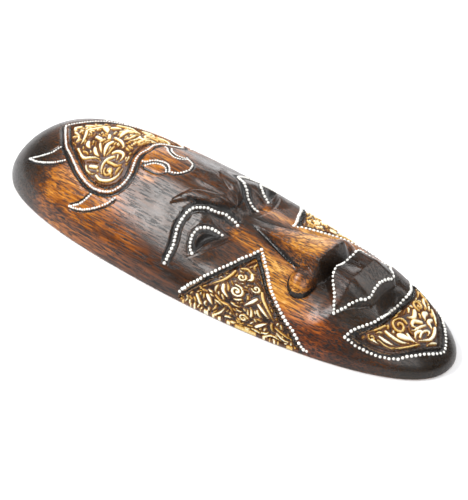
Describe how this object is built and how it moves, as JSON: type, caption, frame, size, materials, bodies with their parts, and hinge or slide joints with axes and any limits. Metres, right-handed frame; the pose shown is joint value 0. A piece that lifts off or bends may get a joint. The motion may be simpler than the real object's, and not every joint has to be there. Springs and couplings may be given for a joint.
{
  "type": "wall mask",
  "caption": "Long wooden wall mask with a hollow back, a carved sea turtle on the forehead, and sunk scrollwork panels on cheeks and chin, with rows of painted dots.",
  "frame": {"origin": "centre of the bounding box in plan, on the flat rim of the hollow back, where the mask lies on a table or against a wall", "axes": "+Z out of the face, +Y along the mask towards the forehead end, +X to the side, across the width; the mask is symmetric about the YZ plane"},
  "size_m": [0.0994, 0.3, 0.0439],
  "materials": {
    "wood": "brown and black stained wood under gloss varnish, cream and gold wash on the raised scrollwork, white paint dots, bare matt wood on the back"
  },
  "bodies": {
    "root": {"wooden_mask": "wood"}
  },
  "joints": []
}
